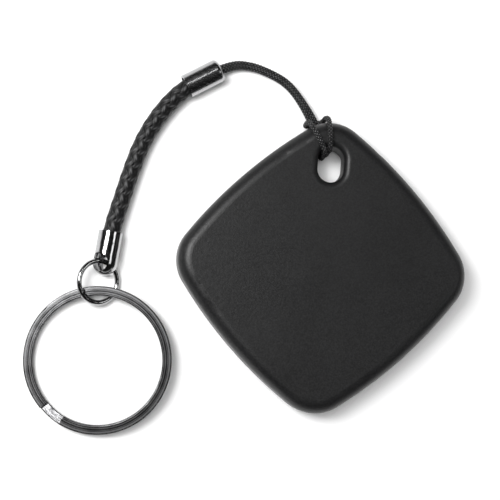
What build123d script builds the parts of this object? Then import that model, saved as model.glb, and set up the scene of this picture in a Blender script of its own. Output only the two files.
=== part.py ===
"""Tracker tag with a lanyard and key ring, in millimetres.

The tag lies face up. The origin is at the centre of its underside, +Z is up and +Y points to the
corner that has the lanyard slot. The lanyard leaves that corner and lies on the same surface.
"""
import math
import os

from build123d import *

os.makedirs("parts", exist_ok=True)

# ---- case ----
HALF_WIDTH = 20.7
SIDE_RADIUS = 79.0
CORNER_RADIUS = 7.0
THICKNESS = 7.2
SEAM_Z = 3.2
FRONT_ROUNDING = 2.2
REAR_ROUNDING = 2.0
WALL = 1.2
LIP = 0.7
FIT_GAP = 0.05
FRONT_WALL = 1.1
FLOOR = 1.2
LIP_TOP = 4.2
GASKET_HEIGHT = 0.3
CEILING_Z = THICKNESS - FRONT_WALL

# ---- lanyard slot ----
SLOT_WIDTH = 4.5
SLOT_LENGTH = 6.1
SLOT_Y = 17.54
SLOT_ROUNDING = 1.05
REAR_SLOT_EXTRA = 0.6
REAR_SLOT_ROUNDING = 0.75
BOSS_HALF_WIDTH = 3.65
BOSS_START_Y = 13.2
GROOVE_WIDTH = 2.7
GROOVE_LENGTH = 8.0
GROOVE_DEPTH = 2.2
GROOVE_ANGLE = 107.3
GROOVE_MOUTH = (-0.8, 19.2)

# ---- battery and its door ----
CELL_CENTRE = (0.0, -4.0)
CELL_RADIUS = 10.0
CELL_HEIGHT = 3.2
CELL_Z = 1.2
DOOR_RADIUS = 12.0
DOOR_GAP = 0.1
DOOR_Z = 0.1
DOOR_TOP_Z = 1.1
LUG_REACH = 1.15
LUG_ROOM = 1.3
LUG_Z = (0.65, 1.1)
UNDERCUT_Z = 0.55
LUG_HALF_ANGLE = 9.5
LUG_PLAY = 1.5
DOOR_TURN = 30.0
LUG_ANGLES = (30.0, 150.0, 270.0)
LEDGE_RADIUS = 14.4
LEDGE_TOP_Z = 2.0
CELL_WALL = (10.4, 11.0)
CELL_WALL_TOP_Z = 4.0
SEAL_RADIUS = 10.9
SEAL_SECTION = 0.33
SEAL_GROOVE_DEPTH = 0.6
SEAL_GROOVE_PLAY = 0.07
COIN_SLOT = (14.0, 2.0, 0.5)
DOOR_CHAMFER = 0.15
CELL_CAP_HEIGHT = 0.25
CELL_CAP_RADIUS = 8.8
CELL_CAP_TAPER = 30.0
CELL_EDGE_ROUNDINGS = (0.4, 0.2)

# ---- circuit board ----
BOARD_Z = 3.0
BOARD_THICKNESS = 0.6
BOARD_TOP_Z = BOARD_Z + BOARD_THICKNESS
BOARD_HOLE_RADIUS = 11.3
STAKES = ((-18.6, 0.0), (18.6, 0.0), (0.0, -18.6))
STAKE_RADIUS = 0.6
STAKE_HOLE_RADIUS = 0.75
STAKE_HEAD = 0.4
PILLAR_RADIUS = 1.3
BOARD_CLEARANCE = 0.25

# ---- contacts on the cell: spring strip profiles as (distance from the middle, height) ----
CELL_TOP_Z = CELL_Z + CELL_HEIGHT
SPRING_WIDTH = 3.0
NEGATIVE_PROFILE = (
    (13.9, BOARD_TOP_Z), (13.9, BOARD_TOP_Z + 0.2), (11.6, BOARD_TOP_Z + 0.2),
    (11.2, CELL_TOP_Z + 0.55), (2.5, CELL_TOP_Z + 0.2), (1.8, CELL_TOP_Z + 0.5),
    (1.8, CELL_TOP_Z + 0.3), (2.4, CELL_TOP_Z), (3.0, CELL_TOP_Z + 0.02),
    (10.95, CELL_TOP_Z + 0.34), (11.35, BOARD_TOP_Z),
)
# The positive spring is drawn in plan: it bows in to touch the cell's rim.
POSITIVE_PLAN = (
    (-11.9, -2.2), (-11.7, -2.2), (-11.7, -3.0), (-10.15, -4.0), (-10.15, -4.2),
    (-11.7, -5.1), (-11.7, -5.8), (-11.9, -5.8), (-11.9, -5.0), (-10.35, -4.1), (-11.9, -3.1),
)
POSITIVE_Z = (2.2, 3.2)
LEG_X = -11.8
FOOT_X = -12.6
LEG_YS = (-2.5, -5.5)
LEG_WIDTH = 0.6
FOOT_LENGTH = 1.8
STRIP_THICKNESS = 0.2
SPRING_NOTCH_WIDTH = 4.2
SPRING_NOTCH_DEPTH = 0.8
WALL_NOTCH = (3.0, 4.4)

# ---- switch: body, snap dome and plunger ----
SWITCH_CENTRE = (0.0, 9.7)
SWITCH_SIDE = 4.2
SWITCH_WELL = 3.2
SWITCH_WELL_FLOOR = 0.4
SWITCH_WALL_HEIGHT = 1.2
SWITCH_LID = 0.25
SWITCH_LID_HOLE_RADIUS = 1.15
PLUNGER_RADIUS = 1.0
PLUNGER_BASE = 0.9
PLUNGER_GAP = 0.05
PLUNGER_ROUNDING = 0.15
PIP_RADIUS = 0.9
PIP_HEIGHT = 0.25
# (radius, height above the board) round the dome's section
DOME_PROFILE = ((0, 0.84), (0.6, 0.8), (1.1, 0.68), (1.5, 0.48), (1.4, 0.42), (1.05, 0.58),
                (0.55, 0.7), (0, 0.74))

# ---- chips: (length, width, height) and place ----
CHIP = (5.0, 5.0, 0.85)
CHIP_PLACE = (14.8, 5.2)
CHIP_DOT_PLACE = (13.0, 7.0)
CHIP_DOT = (0.3, 0.05)
CHIP_CHAMFER = 0.08
CRYSTAL = (3.2, 2.5, 0.7)
CRYSTAL_PLACE = (9.6, 9.6)
CRYSTAL_CORNER = 0.3
CRYSTAL_ROUNDING = 0.15
ANTENNA = (9.0, 2.0, 1.2)
ANTENNA_PLACE = (-13.2, 8.6)
ANTENNA_CHAMFER = 0.1
CAPACITOR = (1.0, 0.5, 0.5)
CAPACITOR_PLACE = (-6.4, 10.2)
CAPACITOR_SPACING = (1.7, 1.6)
RESISTOR = (0.5, 1.0, 0.35)
RESISTOR_PLACE = (12.4, 1.2)
RESISTOR_SPACING = (1.2, 1.7)

# ---- sounder glued under the front cover ----
SOUNDER_CENTRE = (0.0, -6.0)
SOUNDER_RADIUS = 7.5
SOUNDER_THICKNESS = 0.2
CERAMIC_RADIUS = 5.0
CERAMIC_THICKNESS = 0.15

# ---- lanyard ----
THIN_CORD = 0.95
THICK_CORD = 3.2
CHAIN_Z = 2.05
SLEEVE_RADIUS = 2.05
SLEEVE_BORE = 1.72
SLEEVE_LENGTH = 6.6
SLEEVE_ROUNDING = 0.7
SLEEVE_END_WALL = 1.0
STRAND_HOLE = (2.3, 1.2)
SLEEVE_MOUTH = (-25.2, 29.3)
SLEEVE_ANGLE = 32.0
CRIMP_TOP = (-36.2, 3.4)
CRIMP_ANGLE = 264.3
CRIMP_LENGTH = 7.5
CRIMP_DOME_START = CRIMP_LENGTH - SLEEVE_RADIUS
CRIMP_STOP_BOTTOM = 2.6
CRIMP_STOP_TOP = 3.0
EYE_FROM_TOP = 5.35
EYE_RADIUS = 1.6
EYE_TILT = 42.0
WIRE_FROM_EYE = 0.15

# ---- rings ----
JUMP_RADIUS = 3.55
JUMP_WIRE = 0.45
JUMP_TILT = 25.0
JUMP_TURN = 11.0
JUMP_PIVOT = 0.5
RING_OUTER = 12.5
RING_INNER = 10.9
RING_CENTRE = (-36.75, -18.4, 2.04)
RING_SLOPE = 6.0
RING_PITCH = 1.3
RING_WIDTH = RING_OUTER - RING_INNER
RING_MIDDLE = (RING_OUTER + RING_INNER) / 2
RING_PIVOT_RADIUS = 11.35
RING_PIVOT_ANGLE = 97.9
TURN_THICKNESS = 0.62
TURN_GAP = 0.06
TURN_ROUNDING = 0.2
LAYER_HEIGHT = (TURN_THICKNESS + TURN_GAP) / 2
RAMP_START = 224.0
RAMP_ANGLE = 19.0
RAMP_INSET = 0.02
RAMP_STEPS = (-0.04, 0.0, 0.33, 0.67, 1.0, 1.04)

# ---- where the thin cord changes from tag to lanyard, as shares of the last run ----
HITCH_SHARE = 0.46
HITCH_GAP = 0.05


def outline(inset):
    """Rounded square, one corner on +Y, drawn as four bowed sides and four corner arcs."""
    side = SIDE_RADIUS - inset
    corner = CORNER_RADIUS - inset
    arc_gap = SIDE_RADIUS - CORNER_RADIUS
    bow = SIDE_RADIUS - HALF_WIDTH
    centre = (math.sqrt(2 * arc_gap**2 - bow**2) - bow) / 2
    lean = math.asin(centre / arc_gap)
    join = (side * math.cos(lean) - bow, side * math.sin(lean))
    tip = centre + corner / math.sqrt(2)
    with BuildSketch(mode=Mode.PRIVATE) as drawing:
        with BuildLine():
            for turn in range(4):
                angle = 45 + 90 * turn
                low = Vector(join[0], -join[1]).rotate(Axis.Z, angle)
                middle = Vector(HALF_WIDTH - inset, 0).rotate(Axis.Z, angle)
                high = Vector(*join).rotate(Axis.Z, angle)
                corner_tip = Vector(tip, tip).rotate(Axis.Z, angle)
                following = Vector(join[1], join[0]).rotate(Axis.Z, angle)
                ThreePointArc(low, middle, high)
                ThreePointArc(high, corner_tip, following)
        make_face()
    return drawing.sketch


def cavity(gap):
    """Space inside the case wall and beside the slot's boss, shrunk by a gap."""
    reach = HALF_WIDTH * 2
    with BuildSketch(mode=Mode.PRIVATE) as drawing:
        add(outline(WALL + gap))
        with Locations((0, BOSS_START_Y - gap)):
            Rectangle(
                2 * (BOSS_HALF_WIDTH + gap), reach,
                align=(Align.CENTER, Align.MIN), mode=Mode.SUBTRACT,
            )
    return drawing.sketch


def sector(radius, start, end):
    """Pie slice about the cell's centre, from one angle to another in degrees."""
    with BuildSketch(mode=Mode.PRIVATE) as drawing:
        with BuildLine():
            first = PolarLine((0, 0), radius, start)
            rim = CenterArc((0, 0), radius, start, end - start)
            Line(rim @ 1, first @ 0)
        make_face()
    return Pos(*CELL_CENTRE) * drawing.sketch


def radial_plane(base, angle):
    """Plane that holds the base's normal and points outward at an angle."""
    out = base.x_dir.rotate(Axis((0, 0, 0), base.z_dir), angle)
    return Plane(origin=base.origin, x_dir=out, z_dir=out.cross(base.z_dir))


def plan_direction(angle):
    return Vector(math.cos(math.radians(angle)), math.sin(math.radians(angle)), 0)


def corner_radii(points):
    """Arc radius at each inner point of a route: 0.45 of the shorter run over tan(half turn)."""
    radii = []
    for index in range(1, len(points) - 1):
        arriving = points[index] - points[index - 1]
        leaving = points[index + 1] - points[index]
        half_turn = math.radians(arriving.get_angle(leaving)) / 2
        radii.append(0.45 * min(arriving.length, leaving.length) / math.tan(half_turn))
    return radii


def check_cord(name, solid, path, diameter, radii):
    """Print a cord's radii and compare its volume with section times length."""
    length = sum(edge.length for edge in path.edges())
    expected = math.pi * diameter**2 / 4 * length
    print(name, "length %.1f" % length, "radii", [round(radius, 1) for radius in radii],
          "volume %.2f of %.2f" % (solid.volume, expected))


def cord_tube(name, route, diameter):
    """Round tube along straight runs joined by tangent arcs."""
    radii = corner_radii(route)
    with BuildPart() as tube:
        with BuildLine() as path:
            FilletPolyline(*route, radius=radii)
        with BuildSketch(Plane(origin=path.line @ 0, z_dir=path.line % 0)):
            Circle(diameter / 2)
        sweep()
    check_cord(name, tube.part, path.line, diameter, radii)
    return tube.part


def between(strand, share):
    """Point on a strand's last run, a share of the way back from its end."""
    return strand[-1] + (strand[-2] - strand[-1]) * share


slot_plan = Pos(0, SLOT_Y) * SlotOverall(SLOT_LENGTH, SLOT_WIDTH, rotation=90)
# The slot opens out towards +X in the rear cover.
rear_slot_plan = Pos(REAR_SLOT_EXTRA / 2, SLOT_Y) * RectangleRounded(
    SLOT_WIDTH + REAR_SLOT_EXTRA, SLOT_LENGTH, SLOT_WIDTH / 2)

# ---- front cover ----
with BuildPart() as front_cover:
    with BuildSketch(Plane.XY.offset(SEAM_Z)):
        add(outline(0))
    extrude(amount=THICKNESS - SEAM_Z)
    fillet(front_cover.faces().sort_by(Axis.Z)[-1].outer_wire().edges(), FRONT_ROUNDING)
    with BuildSketch(Plane.XY.offset(SEAM_Z)):
        add(cavity(0))
    extrude(amount=LIP_TOP + GASKET_HEIGHT - SEAM_Z, mode=Mode.SUBTRACT)
    with BuildSketch(Plane.XY.offset(LIP_TOP)):
        add(cavity(FIT_GAP + LIP))
    extrude(amount=CEILING_Z - LIP_TOP, mode=Mode.SUBTRACT)
    with BuildSketch(Plane.XY.offset(SEAM_Z)):
        add(slot_plan)
    extrude(amount=THICKNESS - SEAM_Z, mode=Mode.SUBTRACT)
    slot_rim = front_cover.faces().sort_by(Axis.Z)[-1].inner_wires()[0]
    fillet(slot_rim.edges(), SLOT_ROUNDING)
    with BuildSketch(Plane.XY.offset(CEILING_Z)):
        with Locations(SWITCH_CENTRE):
            Circle(PIP_RADIUS)
    extrude(amount=-PIP_HEIGHT)
front_cover.part.label = "front_cover"

# ---- rear cover ----
door_base = Plane(origin=(*CELL_CENTRE, 0))
with BuildPart() as rear_cover:
    with BuildSketch():
        add(outline(0))
    extrude(amount=SEAM_Z)
    fillet(rear_cover.faces().sort_by(Axis.Z)[0].outer_wire().edges(), REAR_ROUNDING)
    with BuildSketch(Plane.XY.offset(SEAM_Z)):
        add(cavity(FIT_GAP))
    extrude(amount=LIP_TOP - SEAM_Z)
    with BuildSketch(Plane.XY.offset(FLOOR)):
        add(cavity(FIT_GAP + LIP))
    extrude(amount=LIP_TOP - FLOOR, mode=Mode.SUBTRACT)
    with BuildSketch(Plane.XY.offset(FLOOR)):
        with Locations(CELL_CENTRE):
            Circle(LEDGE_RADIUS)
    extrude(amount=LEDGE_TOP_Z - FLOOR)
    with BuildSketch(Plane.XY.offset(LEDGE_TOP_Z)):
        with Locations(CELL_CENTRE):
            Circle(CELL_WALL[1])
    extrude(amount=CELL_WALL_TOP_Z - LEDGE_TOP_Z)
    with BuildSketch(Plane.XY.offset(FLOOR)):
        with Locations(CELL_CENTRE):
            Circle(CELL_WALL[0])
    extrude(amount=CELL_WALL_TOP_Z - FLOOR, mode=Mode.SUBTRACT)
    with BuildSketch(Plane.XY.offset(LEDGE_TOP_Z)):
        with Locations((CELL_CENTRE[0] - CELL_WALL[1], CELL_CENTRE[1])):
            Rectangle(*WALL_NOTCH)
    extrude(amount=CELL_WALL_TOP_Z - LEDGE_TOP_Z, mode=Mode.SUBTRACT)
    with BuildSketch():
        with Locations(CELL_CENTRE):
            Circle(DOOR_RADIUS + DOOR_GAP)
    extrude(amount=FLOOR, mode=Mode.SUBTRACT)
    for lug_angle in LUG_ANGLES:
        play = LUG_HALF_ANGLE + LUG_PLAY
        with BuildSketch(Plane.XY.offset(UNDERCUT_Z)):
            add(sector(DOOR_RADIUS + LUG_ROOM, lug_angle - DOOR_TURN - play, lug_angle + play))
        extrude(amount=FLOOR - UNDERCUT_Z, mode=Mode.SUBTRACT)
        with BuildSketch():
            notch = lug_angle - DOOR_TURN
            add(sector(DOOR_RADIUS + LUG_ROOM, notch - play, notch + play))
        extrude(amount=UNDERCUT_Z, mode=Mode.SUBTRACT)
    with BuildSketch(Plane.XY.offset(FLOOR)):
        with Locations(*STAKES):
            Circle(PILLAR_RADIUS)
    extrude(amount=BOARD_Z - FLOOR)
    with BuildSketch(Plane.XY.offset(BOARD_Z)):
        with Locations(*STAKES):
            Circle(STAKE_RADIUS)
    extrude(amount=BOARD_THICKNESS + STAKE_HEAD)
    with BuildSketch():
        add(rear_slot_plan)
    extrude(amount=SEAM_Z, mode=Mode.SUBTRACT)
    slot_rim = rear_cover.faces().sort_by(Axis.Z)[0].inner_wires().sort_by(Axis.Y)[-1]
    fillet(slot_rim.edges(), REAR_SLOT_ROUNDING)
    with BuildSketch():
        with Locations(Location((*GROOVE_MOUTH, 0), (0, 0, GROOVE_ANGLE))):
            Rectangle(GROOVE_LENGTH, GROOVE_WIDTH, align=(Align.MIN, Align.CENTER))
            Circle(GROOVE_WIDTH / 2)
    extrude(amount=GROOVE_DEPTH, mode=Mode.SUBTRACT)
rear_cover.part.label = "rear_cover"

# ---- gasket between the covers ----
with BuildPart() as case_gasket:
    with BuildSketch(Plane.XY.offset(LIP_TOP)):
        add(cavity(FIT_GAP))
        add(cavity(FIT_GAP + LIP), mode=Mode.SUBTRACT)
    extrude(amount=GASKET_HEIGHT)
case_gasket.part.label = "case_gasket"

# ---- battery door and its seal ----
with BuildPart() as battery_door:
    with BuildSketch(Plane.XY.offset(DOOR_Z)):
        with Locations(CELL_CENTRE):
            Circle(DOOR_RADIUS)
    extrude(amount=DOOR_TOP_Z - DOOR_Z)
    chamfer(battery_door.edges().sort_by(Axis.Z)[0], DOOR_CHAMFER)
    for lug_angle in LUG_ANGLES:
        with BuildSketch(Plane.XY.offset(LUG_Z[0])):
            add(sector(DOOR_RADIUS + LUG_REACH, lug_angle - LUG_HALF_ANGLE,
                       lug_angle + LUG_HALF_ANGLE))
        extrude(amount=LUG_Z[1] - LUG_Z[0])
    with BuildSketch(Plane.XY.offset(DOOR_TOP_Z)):
        with Locations(CELL_CENTRE):
            Circle(SEAL_RADIUS + SEAL_SECTION + SEAL_GROOVE_PLAY)
            Circle(SEAL_RADIUS - SEAL_SECTION - SEAL_GROOVE_PLAY, mode=Mode.SUBTRACT)
    extrude(amount=-SEAL_GROOVE_DEPTH, mode=Mode.SUBTRACT)
    with BuildSketch(Plane.XY.offset(DOOR_Z)):
        with Locations(CELL_CENTRE):
            SlotOverall(COIN_SLOT[0], COIN_SLOT[1])
    extrude(amount=COIN_SLOT[2], mode=Mode.SUBTRACT)
battery_door.part.label = "battery_door"

with BuildPart() as door_seal:
    with BuildSketch(radial_plane(door_base, 0)):
        with Locations((SEAL_RADIUS, DOOR_TOP_Z - SEAL_GROOVE_DEPTH + SEAL_SECTION)):
            Circle(SEAL_SECTION)
    revolve(axis=Axis(door_base.origin, door_base.z_dir))
door_seal.part.label = "door_seal"

# ---- circuit board and what it carries ----
with BuildPart() as circuit_board:
    with BuildSketch(Plane.XY.offset(BOARD_Z)):
        add(cavity(FIT_GAP + LIP + BOARD_CLEARANCE))
        with Locations(CELL_CENTRE):
            Circle(BOARD_HOLE_RADIUS, mode=Mode.SUBTRACT)
        with Locations((CELL_CENTRE[0] - BOARD_HOLE_RADIUS, CELL_CENTRE[1])):
            Rectangle(2 * SPRING_NOTCH_DEPTH, SPRING_NOTCH_WIDTH, mode=Mode.SUBTRACT)
        with Locations(*STAKES):
            Circle(STAKE_HOLE_RADIUS, mode=Mode.SUBTRACT)
    extrude(amount=BOARD_THICKNESS)
circuit_board.part.label = "circuit_board"

with BuildPart() as coin_cell:
    with BuildSketch(Plane.XY.offset(CELL_Z)):
        with Locations(CELL_CENTRE):
            Circle(CELL_RADIUS)
    extrude(amount=CELL_HEIGHT - CELL_CAP_HEIGHT)
    fillet(coin_cell.edges().group_by(Axis.Z)[0], CELL_EDGE_ROUNDINGS[0])
    fillet(coin_cell.edges().group_by(Axis.Z)[-1], CELL_EDGE_ROUNDINGS[1])
    with BuildSketch(Plane.XY.offset(CELL_Z + CELL_HEIGHT - CELL_CAP_HEIGHT)):
        with Locations(CELL_CENTRE):
            Circle(CELL_CAP_RADIUS)
    extrude(amount=CELL_CAP_HEIGHT, taper=CELL_CAP_TAPER)
coin_cell.part.label = "coin_cell"

with BuildPart() as negative_contact:
    with BuildSketch(Plane.XZ.offset(-(CELL_CENTRE[1] + SPRING_WIDTH / 2))):
        with BuildLine():
            Polyline(*NEGATIVE_PROFILE, close=True)
        make_face()
    extrude(amount=SPRING_WIDTH)
negative_contact.part.label = "negative_contact"

with BuildPart() as positive_contact:
    with BuildSketch(Plane.XY.offset(POSITIVE_Z[0])):
        with BuildLine():
            Polyline(*POSITIVE_PLAN, close=True)
        make_face()
    extrude(amount=POSITIVE_Z[1] - POSITIVE_Z[0])
    with BuildSketch(Plane.XY.offset(POSITIVE_Z[1])):
        with Locations(*[(LEG_X, leg_y) for leg_y in LEG_YS]):
            Rectangle(STRIP_THICKNESS, LEG_WIDTH)
    extrude(amount=BOARD_TOP_Z + STRIP_THICKNESS - POSITIVE_Z[1])
    with BuildSketch(Plane.XY.offset(BOARD_TOP_Z)):
        with Locations(*[(FOOT_X, leg_y) for leg_y in LEG_YS]):
            Rectangle(FOOT_LENGTH, LEG_WIDTH)
    extrude(amount=STRIP_THICKNESS)
positive_contact.part.label = "positive_contact"

with BuildPart() as switch_body:
    with BuildSketch(Plane.XY.offset(BOARD_TOP_Z)):
        with Locations(SWITCH_CENTRE):
            Rectangle(SWITCH_SIDE, SWITCH_SIDE)
            Rectangle(SWITCH_WELL, SWITCH_WELL, mode=Mode.SUBTRACT)
    extrude(amount=SWITCH_WALL_HEIGHT)
    with BuildSketch(Plane.XY.offset(BOARD_TOP_Z)):
        with Locations(SWITCH_CENTRE):
            Rectangle(SWITCH_WELL, SWITCH_WELL)
    extrude(amount=SWITCH_WELL_FLOOR)
    with BuildSketch(Plane.XY.offset(BOARD_TOP_Z + SWITCH_WALL_HEIGHT)):
        with Locations(SWITCH_CENTRE):
            Rectangle(SWITCH_SIDE, SWITCH_SIDE)
            Circle(SWITCH_LID_HOLE_RADIUS, mode=Mode.SUBTRACT)
    extrude(amount=SWITCH_LID)
switch_body.part.label = "switch_body"

with BuildPart() as switch_dome:
    with BuildSketch(Plane.XZ.offset(-SWITCH_CENTRE[1])):
        with BuildLine():
            section = [(radius, BOARD_TOP_Z + height) for radius, height in DOME_PROFILE]
            Polyline(*section, close=True)
        make_face()
    revolve(axis=Axis((*SWITCH_CENTRE, 0), (0, 0, 1)))
switch_dome.part.label = "switch_dome"

with BuildPart() as switch_plunger:
    with BuildSketch(Plane.XY.offset(BOARD_TOP_Z + PLUNGER_BASE)):
        with Locations(SWITCH_CENTRE):
            Circle(PLUNGER_RADIUS)
    extrude(amount=CEILING_Z - PIP_HEIGHT - PLUNGER_GAP - BOARD_TOP_Z - PLUNGER_BASE)
    fillet(switch_plunger.edges().group_by(Axis.Z)[-1], PLUNGER_ROUNDING)
switch_plunger.part.label = "switch_plunger"

with BuildPart() as radio_chip:
    with BuildSketch(Plane.XY.offset(BOARD_TOP_Z)):
        with Locations(CHIP_PLACE):
            Rectangle(CHIP[0], CHIP[1])
    extrude(amount=CHIP[2])
    chamfer(radio_chip.edges().group_by(Axis.Z)[-1], CHIP_CHAMFER)
    with BuildSketch(Plane.XY.offset(BOARD_TOP_Z + CHIP[2])):
        with Locations(CHIP_DOT_PLACE):
            Circle(CHIP_DOT[0])
    extrude(amount=-CHIP_DOT[1], mode=Mode.SUBTRACT)
radio_chip.part.label = "radio_chip"

with BuildPart() as crystal:
    with BuildSketch(Plane.XY.offset(BOARD_TOP_Z)):
        with Locations(CRYSTAL_PLACE):
            RectangleRounded(CRYSTAL[0], CRYSTAL[1], CRYSTAL_CORNER)
    extrude(amount=CRYSTAL[2])
    fillet(crystal.edges().group_by(Axis.Z)[-1], CRYSTAL_ROUNDING)
crystal.part.label = "crystal"

with BuildPart() as chip_antenna:
    with BuildSketch(Plane.XY.offset(BOARD_TOP_Z)):
        with Locations(Location((*ANTENNA_PLACE, 0), (0, 0, 45))):
            Rectangle(ANTENNA[0], ANTENNA[1])
    extrude(amount=ANTENNA[2])
    chamfer(chip_antenna.edges().group_by(Axis.Z)[-1], ANTENNA_CHAMFER)
chip_antenna.part.label = "chip_antenna"

with BuildPart() as capacitors:
    with BuildSketch(Plane.XY.offset(BOARD_TOP_Z)):
        with GridLocations(*CAPACITOR_SPACING, 2, 3):
            with Locations(CAPACITOR_PLACE):
                Rectangle(CAPACITOR[0], CAPACITOR[1])
    extrude(amount=CAPACITOR[2])
capacitors.part.label = "capacitors"

with BuildPart() as resistors:
    with BuildSketch(Plane.XY.offset(BOARD_TOP_Z)):
        with GridLocations(*RESISTOR_SPACING, 4, 1):
            with Locations(RESISTOR_PLACE):
                Rectangle(RESISTOR[0], RESISTOR[1])
    extrude(amount=RESISTOR[2])
resistors.part.label = "resistors"

# ---- sounder: a brass disc with a ceramic one under it ----
with BuildPart() as piezo_disc:
    with BuildSketch(Plane.XY.offset(CEILING_Z - SOUNDER_THICKNESS)):
        with Locations(SOUNDER_CENTRE):
            Circle(SOUNDER_RADIUS)
    extrude(amount=SOUNDER_THICKNESS)
piezo_disc.part.label = "piezo_disc"

with BuildPart() as piezo_ceramic:
    with BuildSketch(Plane.XY.offset(CEILING_Z - SOUNDER_THICKNESS)):
        with Locations(SOUNDER_CENTRE):
            Circle(CERAMIC_RADIUS)
    extrude(amount=-CERAMIC_THICKNESS)
piezo_ceramic.part.label = "piezo_ceramic"

# ---- lanyard: sleeve, end crimp ----
sleeve_along = plan_direction(SLEEVE_ANGLE)
sleeve_base = Plane(
    origin=(*SLEEVE_MOUTH, CHAIN_Z), x_dir=(-sleeve_along.Y, sleeve_along.X, 0), z_dir=sleeve_along,
)
with BuildPart() as crimp_sleeve:
    with BuildSketch(sleeve_base):
        Circle(SLEEVE_RADIUS)
    extrude(amount=SLEEVE_LENGTH)
    rims = crimp_sleeve.edges().filter_by(GeomType.CIRCLE)
    fillet(rims.sort_by(Axis(sleeve_base.origin, sleeve_along))[-1], SLEEVE_ROUNDING)
    with BuildSketch(sleeve_base):
        Circle(SLEEVE_BORE)
    extrude(amount=SLEEVE_LENGTH - SLEEVE_END_WALL, mode=Mode.SUBTRACT)
    with BuildSketch(sleeve_base):
        SlotOverall(*STRAND_HOLE)
    extrude(amount=SLEEVE_LENGTH, mode=Mode.SUBTRACT)
crimp_sleeve.part.label = "crimp_sleeve"

crimp_along = plan_direction(CRIMP_ANGLE)
crimp_base = Plane(
    origin=(*CRIMP_TOP, CHAIN_Z), x_dir=(-crimp_along.Y, crimp_along.X, 0), z_dir=crimp_along,
)
eye = Vector(*CRIMP_TOP, CHAIN_Z) + crimp_along * EYE_FROM_TOP
across = Vector(-crimp_along.Y, crimp_along.X, 0)
eye_normal = Vector(0, 0, 1).rotate(Axis((0, 0, 0), crimp_along), EYE_TILT)
with BuildPart() as end_crimp:
    with BuildSketch(radial_plane(crimp_base, 0)):
        with BuildLine():
            outer = CenterArc((0, CRIMP_DOME_START), SLEEVE_RADIUS, 0, 90)
            Line(outer @ 1, (0, CRIMP_DOME_START + SLEEVE_BORE))
            inner = CenterArc((0, CRIMP_DOME_START), SLEEVE_BORE, 0, 90)
            Polyline(inner @ 0, (SLEEVE_BORE, CRIMP_STOP_TOP), (0, CRIMP_STOP_TOP),
                     (0, CRIMP_STOP_BOTTOM), (SLEEVE_BORE, CRIMP_STOP_BOTTOM), (SLEEVE_BORE, 0),
                     (SLEEVE_RADIUS, 0), outer @ 0)
        make_face()
    revolve(axis=Axis(crimp_base.origin, crimp_base.z_dir))
    with BuildSketch(Plane(origin=eye, z_dir=eye_normal)):
        Circle(EYE_RADIUS)
    extrude(amount=2 * SLEEVE_RADIUS, both=True, mode=Mode.SUBTRACT)
end_crimp.part.label = "end_crimp"

# ---- jump ring ----
ring_right = across.rotate(Axis((0, 0, 0), crimp_along), -JUMP_TILT)
ring_up = crimp_along * -1
jump_turn = math.radians(JUMP_TURN)
to_eye = ring_right * math.sin(jump_turn) + ring_up * math.cos(jump_turn)
wire_point = eye - crimp_along * WIRE_FROM_EYE
jump_centre = wire_point - to_eye * JUMP_RADIUS
jump_base = Plane(origin=jump_centre, x_dir=ring_right, z_dir=ring_right.cross(ring_up))
with BuildPart() as jump_ring:
    with BuildSketch(radial_plane(jump_base, 0)):
        with Locations((JUMP_RADIUS, 0)):
            Circle(JUMP_WIRE)
    revolve(axis=Axis(jump_base.origin, jump_base.z_dir))
jump_ring.part.label = "jump_ring"

# ---- split ring: one flat strip in two turns, joined by a ramp ----
ring_x = Vector(1, 0, 0).rotate(Axis.Y, -RING_SLOPE)
ring_z = Vector(0, 0, 1).rotate(Axis.Y, -RING_SLOPE).rotate(Axis((0, 0, 0), ring_x), RING_PITCH)
ring_base = Plane(origin=RING_CENTRE, x_dir=ring_x, z_dir=ring_z)
with BuildPart() as split_ring:
    for height in (-LAYER_HEIGHT, LAYER_HEIGHT):
        with BuildSketch(radial_plane(ring_base, RAMP_START + RAMP_ANGLE)):
            with Locations((RING_MIDDLE, height)):
                RectangleRounded(RING_WIDTH, TURN_THICKNESS, TURN_ROUNDING)
        revolve(axis=Axis(ring_base.origin, ring_base.z_dir), revolution_arc=360 - RAMP_ANGLE)
    for fraction in RAMP_STEPS:
        rise = LAYER_HEIGHT * (2 * min(max(fraction, 0), 1) - 1)
        with BuildSketch(radial_plane(ring_base, RAMP_START + RAMP_ANGLE * fraction)):
            with Locations((RING_MIDDLE, rise)):
                RectangleRounded(RING_WIDTH - RAMP_INSET, TURN_THICKNESS - RAMP_INSET,
                                 TURN_ROUNDING)
    loft(ruled=True)
split_ring.part.label = "split_ring"

# ---- cords ----
# The thick braided cord runs from inside the sleeve to inside the end crimp.
thick_route = [Vector(*point) for point in (
    (-22.6, 30.95, 2.05), (-25.7, 28.9, 2.05), (-29.3, 24.5, 1.8), (-32.0, 19.3, 1.65),
    (-33.6, 13.9, 1.65), (-34.8, 8.9, 1.75), (-35.9, 4.6, 2.05), (-36.4, 1.2, 2.05),
)]
with BuildPart() as braided_cord:
    add(cord_tube("braided_cord", thick_route, THICK_CORD))
braided_cord.part.label = "braided_cord"

# The thin cord is one loop. Each end starts in the sleeve, and the two strands run to the tag.
lower_strand = [Vector(*point) for point in (
    (-21.13, 31.48, 1.68), (-17.72, 33.5, 1.65), (-14.35, 33.75, 1.2), (-11.15, 32.9, 0.9),
    (-8.15, 31.55, 0.85), (-5.75, 29.25, 0.85), (-2.92, 24.55, 1.7),
)]
upper_strand = [Vector(*point) for point in (
    (-21.47, 32.02, 2.43), (-18.08, 34.1, 2.4), (-14.3, 34.2, 2.2), (-10.9, 33.25, 1.95),
    (-7.85, 31.9, 1.85), (-5.5, 29.55, 1.85), (-1.92, 24.85, 1.7),
)]
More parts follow.
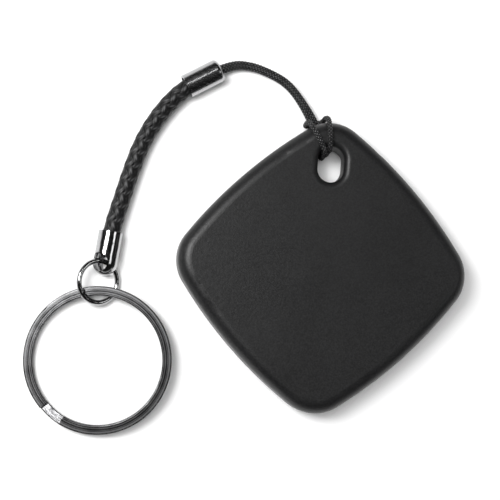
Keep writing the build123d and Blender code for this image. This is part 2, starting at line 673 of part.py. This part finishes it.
# In the hitch they pass under the rim, up the slot, over the rim, and meet below themselves.
hitch_turns = [Vector(*point) for point in (
    (-1.05, 18.75, 1.1), (-1.1, 19.15, 4.6), (-1.1, 19.15, 7.75), (-2.7, 21.9, 8.05),
    (-4.2, 24.4, 6.85), (-4.3, 24.6, 3.6), (-4.0, 24.3, 0.65), (-0.9, 25.5, 0.6),
    (-1.05, 25.8, 3.7), (-0.9, 25.4, 6.3), (-0.75, 23.4, 7.85), (-0.43, 19.93, 7.75),
    (-0.43, 19.93, 4.6), (-0.25, 19.4, 1.1),
)]
with BuildPart() as cord_hitch:
    hitch_route = [between(lower_strand, HITCH_SHARE), lower_strand[-1], *hitch_turns,
                   upper_strand[-1], between(upper_strand, HITCH_SHARE)]
    add(cord_tube("cord_hitch", hitch_route, THIN_CORD))
cord_hitch.part.label = "cord_hitch"

with BuildPart() as loop_strands:
    for strand in (lower_strand, upper_strand):
        route = [*strand[:-1], between(strand, HITCH_SHARE + HITCH_GAP)]
        add(cord_tube("loop_strands", route, THIN_CORD))
loop_strands.part.label = "loop_strands"

# ---- joint places, for the record ----
pivot = (between(lower_strand, HITCH_SHARE) + between(upper_strand, HITCH_SHARE)) / 2
pivot_along = lower_strand[-2] + upper_strand[-2] - lower_strand[-1] - upper_strand[-1]
print("lanyard swing at", pivot, "along", pivot_along.normalized())
wire_along = ring_right * math.cos(jump_turn) - ring_up * math.sin(jump_turn)
print("jump ring swing at", wire_point - to_eye * JUMP_PIVOT, "along", -wire_along)
band_plane = radial_plane(ring_base, RING_PIVOT_ANGLE)
print("split ring swing at", band_plane.origin + band_plane.x_dir * RING_PIVOT_RADIUS,
      "along", -band_plane.z_dir)

for piece in (
    front_cover, rear_cover, case_gasket, battery_door, door_seal, circuit_board, coin_cell,
    negative_contact, positive_contact, switch_body, switch_dome, switch_plunger, radio_chip,
    crystal, chip_antenna, capacitors, resistors, piezo_disc, piezo_ceramic, crimp_sleeve,
    end_crimp, jump_ring, split_ring, braided_cord, cord_hitch, loop_strands,
):
    export_step(piece.part, "parts/" + piece.part.label + ".step")
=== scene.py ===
"""Looks of the tracker tag with its lanyard and key ring, in metres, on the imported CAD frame."""
import math

import bpy
from mathutils import Matrix, Vector


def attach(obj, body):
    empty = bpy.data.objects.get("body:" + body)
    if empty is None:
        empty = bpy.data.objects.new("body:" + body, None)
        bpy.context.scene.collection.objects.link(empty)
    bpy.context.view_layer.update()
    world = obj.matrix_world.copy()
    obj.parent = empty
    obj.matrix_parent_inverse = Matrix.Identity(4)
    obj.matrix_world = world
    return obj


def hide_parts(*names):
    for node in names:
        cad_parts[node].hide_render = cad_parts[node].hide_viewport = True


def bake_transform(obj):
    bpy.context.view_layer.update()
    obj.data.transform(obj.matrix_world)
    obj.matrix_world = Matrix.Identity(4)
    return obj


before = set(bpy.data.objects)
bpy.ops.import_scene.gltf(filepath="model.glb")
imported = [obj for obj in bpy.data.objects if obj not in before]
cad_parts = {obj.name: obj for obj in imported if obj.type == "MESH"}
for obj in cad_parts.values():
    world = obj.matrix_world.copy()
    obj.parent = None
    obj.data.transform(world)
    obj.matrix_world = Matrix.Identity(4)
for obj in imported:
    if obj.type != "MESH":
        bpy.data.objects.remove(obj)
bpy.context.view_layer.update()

MM = 0.001

# ---- camera, nearly overhead; its lens is in millimetres on a 36 mm sensor ----
CAMERA_DISTANCE = 260 * MM
CAMERA_TARGET = Vector((-12.46, 2.09, 3.6)) * MM
CAMERA_TILT = math.radians(8.0)
CAMERA_LEAN = (-0.89, -0.445)
CAMERA_ROLL = math.radians(4.1)
CAMERA_LENS = 109.9

# ---- cords ----
THIN_DIAMETER = 0.95 * MM
THICK_DIAMETER = 3.2 * MM
THICK_ROUTE = (
    (-22.6, 30.95, 2.05), (-25.7, 28.9, 2.05), (-29.3, 24.5, 1.8), (-32.0, 19.3, 1.65),
    (-33.6, 13.9, 1.65), (-34.8, 8.9, 1.75), (-35.9, 4.6, 2.05), (-36.4, 1.2, 2.05),
)
# The thin cord: lower strand, up and round the hitch, then back along the upper strand.
LOWER_STRAND = (
    (-21.13, 31.48, 1.68), (-17.72, 33.5, 1.65), (-14.35, 33.75, 1.2), (-11.15, 32.9, 0.9),
    (-8.15, 31.55, 0.85), (-5.75, 29.25, 0.85), (-2.92, 24.55, 1.7),
)
HITCH_TURNS = (
    (-1.05, 18.75, 1.1), (-1.1, 19.15, 4.6), (-1.1, 19.15, 7.75), (-2.7, 21.9, 8.05),
    (-4.2, 24.4, 6.85), (-4.3, 24.6, 3.6), (-4.0, 24.3, 0.65), (-0.9, 25.5, 0.6),
    (-1.05, 25.8, 3.7), (-0.9, 25.4, 6.3), (-0.75, 23.4, 7.85), (-0.43, 19.93, 7.75),
    (-0.43, 19.93, 4.6), (-0.25, 19.4, 1.1),
)
UPPER_STRAND = (
    (-1.92, 24.85, 1.7), (-5.5, 29.55, 1.85), (-7.85, 31.9, 1.85), (-10.9, 33.25, 1.95),
    (-14.3, 34.2, 2.2), (-18.08, 34.1, 2.4), (-21.47, 32.02, 2.43),
)

# ---- braids: lead is one turn of a strand, crimp is how far it weaves out and in ----
# The thick braid is drawn a little slimmer than the cord's declared diameter.
THIN_BRAID = {
    "radius": THIN_DIAMETER / 2, "carriers": 8, "lead": 2.2 * MM, "width": 0.29 * MM,
    "thickness": 0.24 * MM, "crimp": 0.08 * MM, "sides": 8,
}
THICK_BRAID = {
    "radius": 0.47 * THICK_DIAMETER, "carriers": 12, "lead": 14.7 * MM, "width": 1.2 * MM,
    "thickness": 0.46 * MM, "crimp": 0.06 * MM, "sides": 12,
}
THIN_STEP = 0.11 * MM
THICK_STEP = 0.14 * MM
CORE_SIDES = 12
# How sharply the painted highlight on a strand's crest falls off round the strand.
PAINTED_HIGHLIGHT_SHARPNESS = 6

# ---- places that the round finishes turn about ----
RING_CENTRE = Vector((-36.75, -18.4, 2.04)) * MM
RING_AXIS = Vector((-0.104501, -0.022563, 0.99427))
CELL_CENTRE = Vector((0, -4, 0)) * MM
PIEZO_CENTRE = Vector((0, -6, 0)) * MM
UP = Vector((0, 0, 1))

# Most of a noise's values lie between these two.
NOISE_LOW = 0.3
NOISE_HIGH = 0.7

# ---- floor ----
FLOOR_REACH = 3.0
FLOOR_DROP = -0.02 * MM


# ---- camera first ----
def point_camera():
    lean = math.sin(CAMERA_TILT)
    towards = Vector((CAMERA_LEAN[0] * lean, CAMERA_LEAN[1] * lean, math.cos(CAMERA_TILT)))
    towards.normalize()
    roll_up = Vector((-math.sin(CAMERA_ROLL), math.cos(CAMERA_ROLL), 0))
    right = roll_up.cross(towards).normalized()
    up = towards.cross(right)
    data = bpy.data.cameras.new("camera")
    data.lens = CAMERA_LENS
    data.clip_start = 0.01
    data.clip_end = 10
    camera = bpy.data.objects.new("camera", data)
    bpy.context.scene.collection.objects.link(camera)
    turn = Matrix((right, up, towards)).transposed().to_4x4()
    camera.matrix_world = Matrix.Translation(CAMERA_TARGET + towards * CAMERA_DISTANCE) @ turn
    bpy.context.scene.camera = camera


# ---- cord geometry ----
def route_line(name, route, step):
    """Evenly spaced points along the NURBS line that has the route as its control points."""
    curve = bpy.data.curves.new(name, "CURVE")
    curve.dimensions = "3D"
    curve.resolution_u = 24
    spline = curve.splines.new("NURBS")
    spline.points.add(len(route) - 1)
    for knot, place in zip(spline.points, route):
        knot.co = (*(Vector(place) * MM), 1)
    spline.order_u = 3
    spline.use_endpoint_u = True
    holder = bpy.data.objects.new(name, curve)
    mesh = bpy.data.meshes.new_from_object(holder)
    places = [vertex.co.copy() for vertex in mesh.vertices]
    bpy.data.objects.remove(holder)
    bpy.data.meshes.remove(mesh)
    bpy.data.curves.remove(curve)
    return even_points(places, step)


def even_points(places, step):
    """The same line with its points spaced evenly."""
    lengths = [0.0]
    for before, after in zip(places, places[1:]):
        lengths.append(lengths[-1] + (after - before).length)
    count = max(2, round(lengths[-1] / step))
    line = []
    run = 0
    for index in range(count + 1):
        wanted = lengths[-1] * index / count
        while run < len(places) - 2 and lengths[run + 1] < wanted:
            run += 1
        share = (wanted - lengths[run]) / (lengths[run + 1] - lengths[run])
        line.append(places[run].lerp(places[run + 1], share))
    return line


def line_frames(line):
    """Tangent, side and up at each point of a line, turned as little as possible."""
    frames = []
    side = None
    for index in range(len(line)):
        before = line[max(index - 1, 0)]
        after = line[min(index + 1, len(line) - 1)]
        tangent = (after - before).normalized()
        if side is None:
            side = tangent.cross(UP)
        side = (side - tangent * side.dot(tangent)).normalized()
        frames.append((tangent, side, tangent.cross(side)))
    return frames


def add_tube(build, rings, uv_length, painted_crest_highlights):
    """Joins rings of points into a closed tube. Its UVs run along it and round it.

    A second set of UVs holds a painted highlight: it is 1 on the ridge of a strand where it comes
    out on top, and else 0.
    """
    sides = len(rings[0])
    first = len(build["points"])
    for ring in rings:
        build["points"].extend(ring)
    for row in range(len(rings) - 1):
        for column in range(sides):
            beside = (column + 1) % sides
            start = first + row * sides
            build["faces"].append((start + column, start + beside,
                                   start + sides + beside, start + sides + column))
            low = row * uv_length
            high = (row + 1) * uv_length
            left = column / sides
            right = (column + 1) / sides
            build["uvs"].extend([(low, left), (low, right), (high, right), (high, left)])
            build["painted_crest_highlights"].extend([(painted_crest_highlights[row][column], 0.0), (painted_crest_highlights[row][beside], 0.0),
                                    (painted_crest_highlights[row + 1][beside], 0.0),
                                    (painted_crest_highlights[row + 1][column], 0.0)])
    last = first + (len(rings) - 1) * sides
    for cap in (tuple(range(first, first + sides))[::-1], tuple(range(last, last + sides))):
        build["faces"].append(cap)
        build["uvs"].extend([(0.0, 0.5)] * sides)
        build["painted_crest_highlights"].extend([(0.0, 0.0)] * sides)


def finished_mesh(piece_name, build):
    mesh = bpy.data.meshes.new(piece_name)
    mesh.from_pydata([tuple(point) for point in build["points"]], [], build["faces"])
    for name, places in (("along", build["uvs"]), ("crest", build["painted_crest_highlights"])):
        layer = mesh.uv_layers.new(name=name)
        for loop, uv in zip(layer.data, places):
            loop.uv = uv
    mesh.shade_smooth()
    piece = bpy.data.objects.new(piece_name, mesh)
    bpy.context.scene.collection.objects.link(piece)
    return piece


def strand_rings(line, frames, step, way, start, shape):
    """Rings of points along one strand of a braid, and how much painted highlight each point gets
    on the strand's crest.

    way is 1 or -1, the way that the strand turns, and start is where it starts, as part of a turn.
    """
    family = shape["carriers"] // 2
    middle = shape["radius"] - shape["thickness"] / 2 - shape["crimp"]
    slope = math.tau * middle / shape["lead"]
    rings = []
    painted_crest_highlights = []
    for index, (place, (tangent, side, up)) in enumerate(zip(line, frames)):
        travel = step * index / shape["lead"]
        angle = math.tau * (way * travel + start)
        weave = way * math.cos(math.tau * family * (start + way * travel))
        out = side * math.cos(angle) + up * math.sin(angle)
        round_way = (up * math.cos(angle) - side * math.sin(angle)) * way
        across = (tangent * slope - round_way).normalized()
        centre = place + out * (middle + shape["crimp"] * weave)
        ring = []
        crest = []
        for corner in range(shape["sides"]):
            spin = math.tau * corner / shape["sides"]
            ring.append(centre + across * math.cos(spin) * shape["width"] / 2
                        + out * math.sin(spin) * shape["thickness"] / 2)
            # Painted highlight: a paler base colour on the crest of a strand where it comes out on
            # top.
            crest.append((1 + weave) / 2 * max(0.0, math.sin(spin)) ** PAINTED_HIGHLIGHT_SHARPNESS)
        rings.append(ring)
        painted_crest_highlights.append(crest)
    return rings, painted_crest_highlights


def core_rings(line, frames, radius):
    """Rings of points along the plain core under a braid."""
    turns = [math.tau * corner / CORE_SIDES for corner in range(CORE_SIDES)]
    return [[place + (side * math.cos(turn) + up * math.sin(turn)) * radius for turn in turns]
            for place, (_, side, up) in zip(line, frames)]


def braid(name, line, shape):
    """Strands round a line, half of them each way, each over one and then under one."""
    build = {"points": [], "faces": [], "uvs": [], "painted_crest_highlights": []}
    frames = line_frames(line)
    step = (line[1] - line[0]).length
    family = shape["carriers"] // 2
    for way in (1, -1):
        for strand in range(family):
            rings, painted_crest_highlights = strand_rings(line, frames, step, way, strand / family, shape)
            add_tube(build, rings, step / MM, painted_crest_highlights)
    core_radius = shape["radius"] - shape["thickness"] / 2 - 2 * shape["crimp"]
    core = core_rings(line[::2], frames[::2], core_radius)
    add_tube(build, core, 2 * step / MM, [[0.0] * CORE_SIDES] * len(core))
    return finished_mesh(name, build)


# ---- node helpers ----
def blank_material(name, roughness, metallic=0.0):
    made = bpy.data.materials.new(name)
    made.use_nodes = True
    shader = made.node_tree.nodes["Principled BSDF"]
    shader.inputs["Roughness"].default_value = roughness
    shader.inputs["Metallic"].default_value = metallic
    return made, made.node_tree, shader


def object_place(tree):
    return tree.nodes.new("ShaderNodeTexCoord").outputs["Object"]


def noise(tree, coordinates, scale, detail=3.0, roughness=0.6):
    node = tree.nodes.new("ShaderNodeTexNoise")
    node.inputs["Scale"].default_value = scale
    node.inputs["Detail"].default_value = detail
    node.inputs["Roughness"].default_value = roughness
    tree.links.new(coordinates, node.inputs["Vector"])
    return node.outputs["Fac"]


def spread(tree, value, low, high):
    """Maps a noise's range to the range from low to high."""
    node = tree.nodes.new("ShaderNodeMapRange")
    node.inputs["From Min"].default_value = NOISE_LOW
    node.inputs["From Max"].default_value = NOISE_HIGH
    node.inputs["To Min"].default_value = low
    node.inputs["To Max"].default_value = high
    tree.links.new(value, node.inputs["Value"])
    return node.outputs["Result"]


def tones(tree, value, dark, light, low=NOISE_LOW, high=NOISE_HIGH):
    """Colour between dark and light as a value goes from low to high."""
    node = tree.nodes.new("ShaderNodeValToRGB")
    node.color_ramp.elements[0].position = low
    node.color_ramp.elements[0].color = (*dark, 1)
    node.color_ramp.elements[1].position = high
    node.color_ramp.elements[1].color = (*light, 1)
    tree.links.new(value, node.inputs["Fac"])
    return node.outputs["Color"]


def bump(tree, height, strength, distance, under=None):
    node = tree.nodes.new("ShaderNodeBump")
    node.inputs["Strength"].default_value = strength
    node.inputs["Distance"].default_value = distance
    tree.links.new(height, node.inputs["Height"])
    if under:
        tree.links.new(under, node.inputs["Normal"])
    return node.outputs["Normal"]


def math_node(tree, operation, first, second):
    node = tree.nodes.new("ShaderNodeMath")
    node.operation = operation
    for socket, value in zip(node.inputs, (first, second)):
        if isinstance(value, float):
            socket.default_value = value
        else:
            tree.links.new(value, socket)
    return node.outputs["Value"]


def mixed_value(tree, first, second, share):
    """This share of the first value and the rest of the second."""
    return math_node(tree, "ADD", math_node(tree, "MULTIPLY", first, share),
                     math_node(tree, "MULTIPLY", second, 1 - share))


def vector_node(tree, operation, *values):
    node = tree.nodes.new("ShaderNodeVectorMath")
    node.operation = operation
    for socket, value in zip(node.inputs, values):
        if isinstance(value, Vector):
            socket.default_value = value
        else:
            tree.links.new(value, socket)
    return node


# ---- materials ----
def moulded_plastic(name, dark, light, roughness, grain):
    """Dark moulded plastic with a fine sparked grain."""
    made, tree, shader = blank_material(name, roughness)
    place = object_place(tree)
    clouds = noise(tree, place, scale=90, detail=4)
    fine = noise(tree, place, scale=3800, detail=2, roughness=0.5)
    coarse = noise(tree, place, scale=1700, detail=2, roughness=0.5)
    tree.links.new(tones(tree, fine, dark, light), shader.inputs["Base Color"])
    rough = spread(tree, clouds, roughness - 0.03, roughness + 0.04)
    tree.links.new(rough, shader.inputs["Roughness"])
    under = bump(tree, coarse, strength=grain / 2, distance=0.06 * MM)
    top = bump(tree, fine, strength=grain, distance=0.04 * MM, under=under)
    tree.links.new(top, shader.inputs["Normal"])
    return made


def soft_rubber(name):
    """Black rubber of an even matt finish."""
    made, tree, shader = blank_material(name, 0.6)
    fine = noise(tree, object_place(tree), scale=3000)
    tree.links.new(tones(tree, fine, (0.01, 0.01, 0.01), (0.02, 0.02, 0.02)),
                   shader.inputs["Base Color"])
    tree.links.new(bump(tree, fine, strength=0.2, distance=0.03 * MM), shader.inputs["Normal"])
    return made


def bright_chrome(name):
    """Polished plated metal with faint dents and hairline wear."""
    made, tree, shader = blank_material(name, 0.1, metallic=1.0)
    place = object_place(tree)
    dents = noise(tree, place, scale=420, detail=2, roughness=0.5)
    wear = noise(tree, place, scale=3500, detail=4, roughness=0.7)
    tree.links.new(tones(tree, wear, (0.36, 0.36, 0.365), (0.55, 0.55, 0.555)),
                   shader.inputs["Base Color"])
    tree.links.new(spread(tree, wear, 0.06, 0.2), shader.inputs["Roughness"])
    under = bump(tree, dents, strength=0.25, distance=0.4 * MM)
    top = bump(tree, wear, strength=0.06, distance=0.03 * MM, under=under)
    tree.links.new(top, shader.inputs["Normal"])
    return made


def turned_metal(name, centre, axis, dark, light, roughness, line_scale):
    """Metal with fine lines that run round an axis."""
    made, tree, shader = blank_material(name, roughness, metallic=1.0)
    offset = vector_node(tree, "SUBTRACT", object_place(tree), centre).outputs["Vector"]
    swept = vector_node(tree, "CROSS_PRODUCT", offset, axis).outputs["Vector"]
    away = vector_node(tree, "LENGTH", swept).outputs["Value"]
    height = vector_node(tree, "DOT_PRODUCT", offset, axis).outputs["Value"]
    place = tree.nodes.new("ShaderNodeCombineXYZ")
    tree.links.new(away, place.inputs["X"])
    tree.links.new(height, place.inputs["Y"])
    lines = noise(tree, place.outputs["Vector"], line_scale, detail=3, roughness=0.7)
    patches = noise(tree, object_place(tree), scale=500, detail=3)
    mixed = mixed_value(tree, lines, patches, share=0.7)
    tree.links.new(tones(tree, mixed, dark, light, low=0.4, high=0.6),
                   shader.inputs["Base Color"])
    tree.links.new(spread(tree, lines, roughness - 0.08, roughness + 0.1),
                   shader.inputs["Roughness"])
    tree.links.new(bump(tree, lines, strength=0.35, distance=0.03 * MM), shader.inputs["Normal"])
    return made


def satin_metal(name, dark, light, roughness):
    """Rolled metal with a faint directional grain."""
    made, tree, shader = blank_material(name, roughness, metallic=1.0)
    stretch = tree.nodes.new("ShaderNodeMapping")
    stretch.inputs["Scale"].default_value = (1.0, 12.0, 1.0)
    tree.links.new(object_place(tree), stretch.inputs["Vector"])
    grain = noise(tree, stretch.outputs["Vector"], scale=900, detail=4, roughness=0.7)
    tree.links.new(tones(tree, grain, dark, light), shader.inputs["Base Color"])
    tree.links.new(spread(tree, grain, roughness - 0.06, roughness + 0.08),
                   shader.inputs["Roughness"])
    tree.links.new(bump(tree, grain, strength=0.1, distance=0.02 * MM), shader.inputs["Normal"])
    return made


def braided_nylon(name, dark, light, roughness, filaments):
    """Yarn whose filaments run along each strand, with a painted highlight: its base colour is
    paler where a strand comes out on top.
    """
    made, tree, shader = blank_material(name, roughness)
    along = tree.nodes.new("ShaderNodeUVMap")
    along.uv_map = "along"
    stretch = tree.nodes.new("ShaderNodeMapping")
    stretch.inputs["Scale"].default_value = (1.2, filaments, 1.0)
    tree.links.new(along.outputs["UV"], stretch.inputs["Vector"])
    threads = noise(tree, stretch.outputs["Vector"], scale=1.0, detail=3)
    painted_highlight_uv = tree.nodes.new("ShaderNodeUVMap")
    painted_highlight_uv.uv_map = "crest"
    crest = tree.nodes.new("ShaderNodeSeparateXYZ")
    tree.links.new(painted_highlight_uv.outputs["UV"], crest.inputs["Vector"])
    # The colour reaches the light tone mainly on the painted highlight of the strand crests.
    mixed = mixed_value(tree, threads, crest.outputs["X"], share=0.35)
    tree.links.new(tones(tree, mixed, dark, light, low=0.55, high=0.8),
                   shader.inputs["Base Color"])
    tree.links.new(spread(tree, threads, roughness - 0.1, roughness + 0.12),
                   shader.inputs["Roughness"])
    tree.links.new(bump(tree, threads, strength=0.5, distance=0.04 * MM),
                   shader.inputs["Normal"])
    return made


def solder_mask(name):
    """Green lacquer over a circuit board, paler along lines like tracks."""
    made, tree, shader = blank_material(name, 0.3)
    place = object_place(tree)
    cells = tree.nodes.new("ShaderNodeTexVoronoi")
    cells.distance = "MANHATTAN"
    cells.feature = "DISTANCE_TO_EDGE"
    cells.inputs["Scale"].default_value = 380
    tree.links.new(place, cells.inputs["Vector"])
    edge = cells.outputs["Distance"]
    track = (0.03, 0.2, 0.08)
    between = (0.012, 0.09, 0.035)
    tree.links.new(tones(tree, edge, track, between, low=0.05, high=0.09),
                   shader.inputs["Base Color"])
    smears = noise(tree, place, scale=1500)
    tree.links.new(spread(tree, smears, 0.25, 0.4), shader.inputs["Roughness"])
    tree.links.new(bump(tree, edge, strength=0.2, distance=0.03 * MM), shader.inputs["Normal"])
    return made


def fired_ceramic(name, dark, light):
    """Matt ceramic with a very fine grain."""
    made, tree, shader = blank_material(name, 0.5)
    grain = noise(tree, object_place(tree), scale=4000, detail=4)
    tree.links.new(tones(tree, grain, dark, light), shader.inputs["Base Color"])
    tree.links.new(spread(tree, grain, 0.42, 0.6), shader.inputs["Roughness"])
    tree.links.new(bump(tree, grain, strength=0.2, distance=0.02 * MM), shader.inputs["Normal"])
    return made


def dress(node, made):
    """Gives a CAD node this material in place of its own."""
    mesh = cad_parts[node].data
    mesh.materials.clear()
    mesh.materials.append(made)


# ---- surroundings ----
def white_floor():
    """A matt white sheet just under the object."""
    made, tree, shader = blank_material("floor_white", 0.7)
    grain = noise(tree, object_place(tree), scale=60)
    tree.links.new(tones(tree, grain, (0.88, 0.88, 0.88), (0.9, 0.9, 0.9)),
                   shader.inputs["Base Color"])
    shader.inputs["Specular IOR Level"].default_value = 0.1
    mesh = bpy.data.meshes.new("floor")
    corners = [(x * FLOOR_REACH, y * FLOOR_REACH, FLOOR_DROP)
               for x, y in ((-1, -1), (1, -1), (1, 1), (-1, 1))]
    mesh.from_pydata(corners, [], [(0, 1, 2, 3)])
    mesh.materials.append(made)
    floor = bpy.data.objects.new("floor", mesh)
    bpy.context.scene.collection.objects.link(floor)


def ceiling_light(name, towards, spread_angle, strength):
    """An even soft light from far above that leaves no highlight."""
    data = bpy.data.lights.new(name, "SUN")
    data.angle = spread_angle
    data.energy = strength
    light = bpy.data.objects.new(name, data)
    bpy.context.scene.collection.objects.link(light)
    light.visible_glossy = False
    light.rotation_euler = (-towards).to_track_quat("-Z", "Y").to_euler()


def area_light(name, place, size, power):
    """A soft light turned to the object."""
    data = bpy.data.lights.new(name, "AREA")
    data.shape = "RECTANGLE"
    data.size = size[0]
    data.size_y = size[1]
    data.energy = power
    light = bpy.data.objects.new(name, data)
    bpy.context.scene.collection.objects.link(light)
    light.location = place
    light.rotation_euler = (CAMERA_TARGET - light.location).to_track_quat("-Z", "Y").to_euler()


def studio_world():
    """Bright round the horizon and dark overhead."""
    world = bpy.data.worlds.new("studio")
    world.use_nodes = True
    tree = world.node_tree
    split = tree.nodes.new("ShaderNodeSeparateXYZ")
    tree.links.new(tree.nodes.new("ShaderNodeTexCoord").outputs["Generated"],
                   split.inputs["Vector"])
    horizon = (0.7, 0.7, 0.7)
    overhead = (0.012, 0.012, 0.012)
    sky = tones(tree, split.outputs["Z"], horizon, overhead, low=0.02, high=0.2)
    tree.links.new(sky, tree.nodes["Background"].inputs["Color"])
    bpy.context.scene.world = world


point_camera()

# ---- thin cord, one loop from the sleeve round the hitch and back ----
loop_route = LOWER_STRAND + HITCH_TURNS + UPPER_STRAND
loop_line = route_line("loop_route", loop_route, THIN_STEP)
loop_cord = braid("loop_cord", loop_line, THIN_BRAID)
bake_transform(loop_cord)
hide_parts("cord_hitch", "loop_strands")

# ---- thick cord, from inside the sleeve to inside the end crimp ----
thick_line = route_line("thick_route", THICK_ROUTE, THICK_STEP)
thick_cord = braid("thick_cord", thick_line, THICK_BRAID)
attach(thick_cord, "lanyard")
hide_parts("braided_cord")

# ---- finishes ----
case_plastic = moulded_plastic("case_plastic", dark=(0.003, 0.003, 0.0032),
                               light=(0.013, 0.013, 0.0134), roughness=0.43, grain=0.5)
door_plastic = moulded_plastic("door_plastic", dark=(0.01, 0.01, 0.011),
                               light=(0.017, 0.017, 0.018), roughness=0.48, grain=0.4)
switch_plastic = moulded_plastic("switch_plastic", dark=(0.02, 0.02, 0.02),
                                 light=(0.03, 0.03, 0.03), roughness=0.4, grain=0.2)
chip_epoxy = moulded_plastic("chip_epoxy", dark=(0.012, 0.012, 0.014),
                             light=(0.02, 0.02, 0.022), roughness=0.5, grain=0.3)
seal_rubber = soft_rubber("seal_rubber")
chrome = bright_chrome("bright_chrome")
sleeve_chrome = satin_metal("sleeve_chrome", dark=(0.36, 0.36, 0.365),
                            light=(0.5, 0.5, 0.505), roughness=0.22)
contact_metal = satin_metal("contact_metal", dark=(0.6, 0.5, 0.32),
                            light=(0.78, 0.68, 0.45), roughness=0.3)
can_metal = satin_metal("can_metal", dark=(0.6, 0.6, 0.6), light=(0.78, 0.78, 0.77),
                        roughness=0.25)
ring_steel = turned_metal("ring_steel", RING_CENTRE, RING_AXIS, dark=(0.02, 0.02, 0.021),
                          light=(0.17, 0.17, 0.173), roughness=0.24, line_scale=3400)
cell_steel = turned_metal("cell_steel", CELL_CENTRE, UP, dark=(0.5, 0.5, 0.5),
                          light=(0.72, 0.72, 0.71), roughness=0.28, line_scale=4000)
piezo_brass = turned_metal("piezo_brass", PIEZO_CENTRE, UP, dark=(0.55, 0.38, 0.14),
                           light=(0.75, 0.56, 0.25), roughness=0.3, line_scale=5000)
antenna_ceramic = fired_ceramic("antenna_ceramic", dark=(0.6, 0.58, 0.52),
                                light=(0.72, 0.7, 0.65))
capacitor_ceramic = fired_ceramic("capacitor_ceramic", dark=(0.3, 0.2, 0.11),
                                  light=(0.42, 0.3, 0.18))
board_laminate = solder_mask("board_laminate")
# The light tone of each nylon is the colour of the painted highlight on its strand crests. The
# dark tone is the yarn's own colour.
thin_nylon = braided_nylon("thin_nylon", dark=(0.002, 0.002, 0.0022),
                           light=(0.36, 0.36, 0.365), roughness=0.42, filaments=5)
thick_nylon = braided_nylon("thick_nylon", dark=(0.002, 0.002, 0.0022),
                            light=(0.065, 0.065, 0.067), roughness=0.5, filaments=14)

for made, nodes in (
    (case_plastic, ("front_cover", "rear_cover")),
    (door_plastic, ("battery_door",)),
    (switch_plastic, ("switch_body", "switch_plunger")),
    (chip_epoxy, ("radio_chip", "resistors")),
    (seal_rubber, ("case_gasket", "door_seal")),
    (chrome, ("end_crimp", "jump_ring")),
    (sleeve_chrome, ("crimp_sleeve",)),
    (ring_steel, ("split_ring",)),
    (cell_steel, ("coin_cell",)),
    (contact_metal, ("negative_contact", "positive_contact", "switch_dome")),
    (can_metal, ("crystal",)),
    (piezo_brass, ("piezo_disc",)),
    (antenna_ceramic, ("chip_antenna", "piezo_ceramic")),
    (capacitor_ceramic, ("capacitors",)),
    (board_laminate, ("circuit_board",)),
):
    for node in nodes:
        dress(node, made)
loop_cord.data.materials.append(thin_nylon)
thick_cord.data.materials.append(thick_nylon)

# ---- light ----
white_floor()
studio_world()
ceiling_light("ceiling", towards=Vector((-0.16, 0.05, 1)), spread_angle=math.radians(36),
              strength=1.8)
area_light("key", place=(-0.167, 0.055, 0.28), size=(0.1, 0.12), power=0.95)
area_light("strip", place=(0.0, 0.18, 0.572), size=(0.06, 0.03), power=0.05)
area_light("fill", place=(0.25, 0.02, 0.3), size=(0.1, 0.1), power=0.08)
bpy.context.scene.view_settings.view_transform = "Standard"
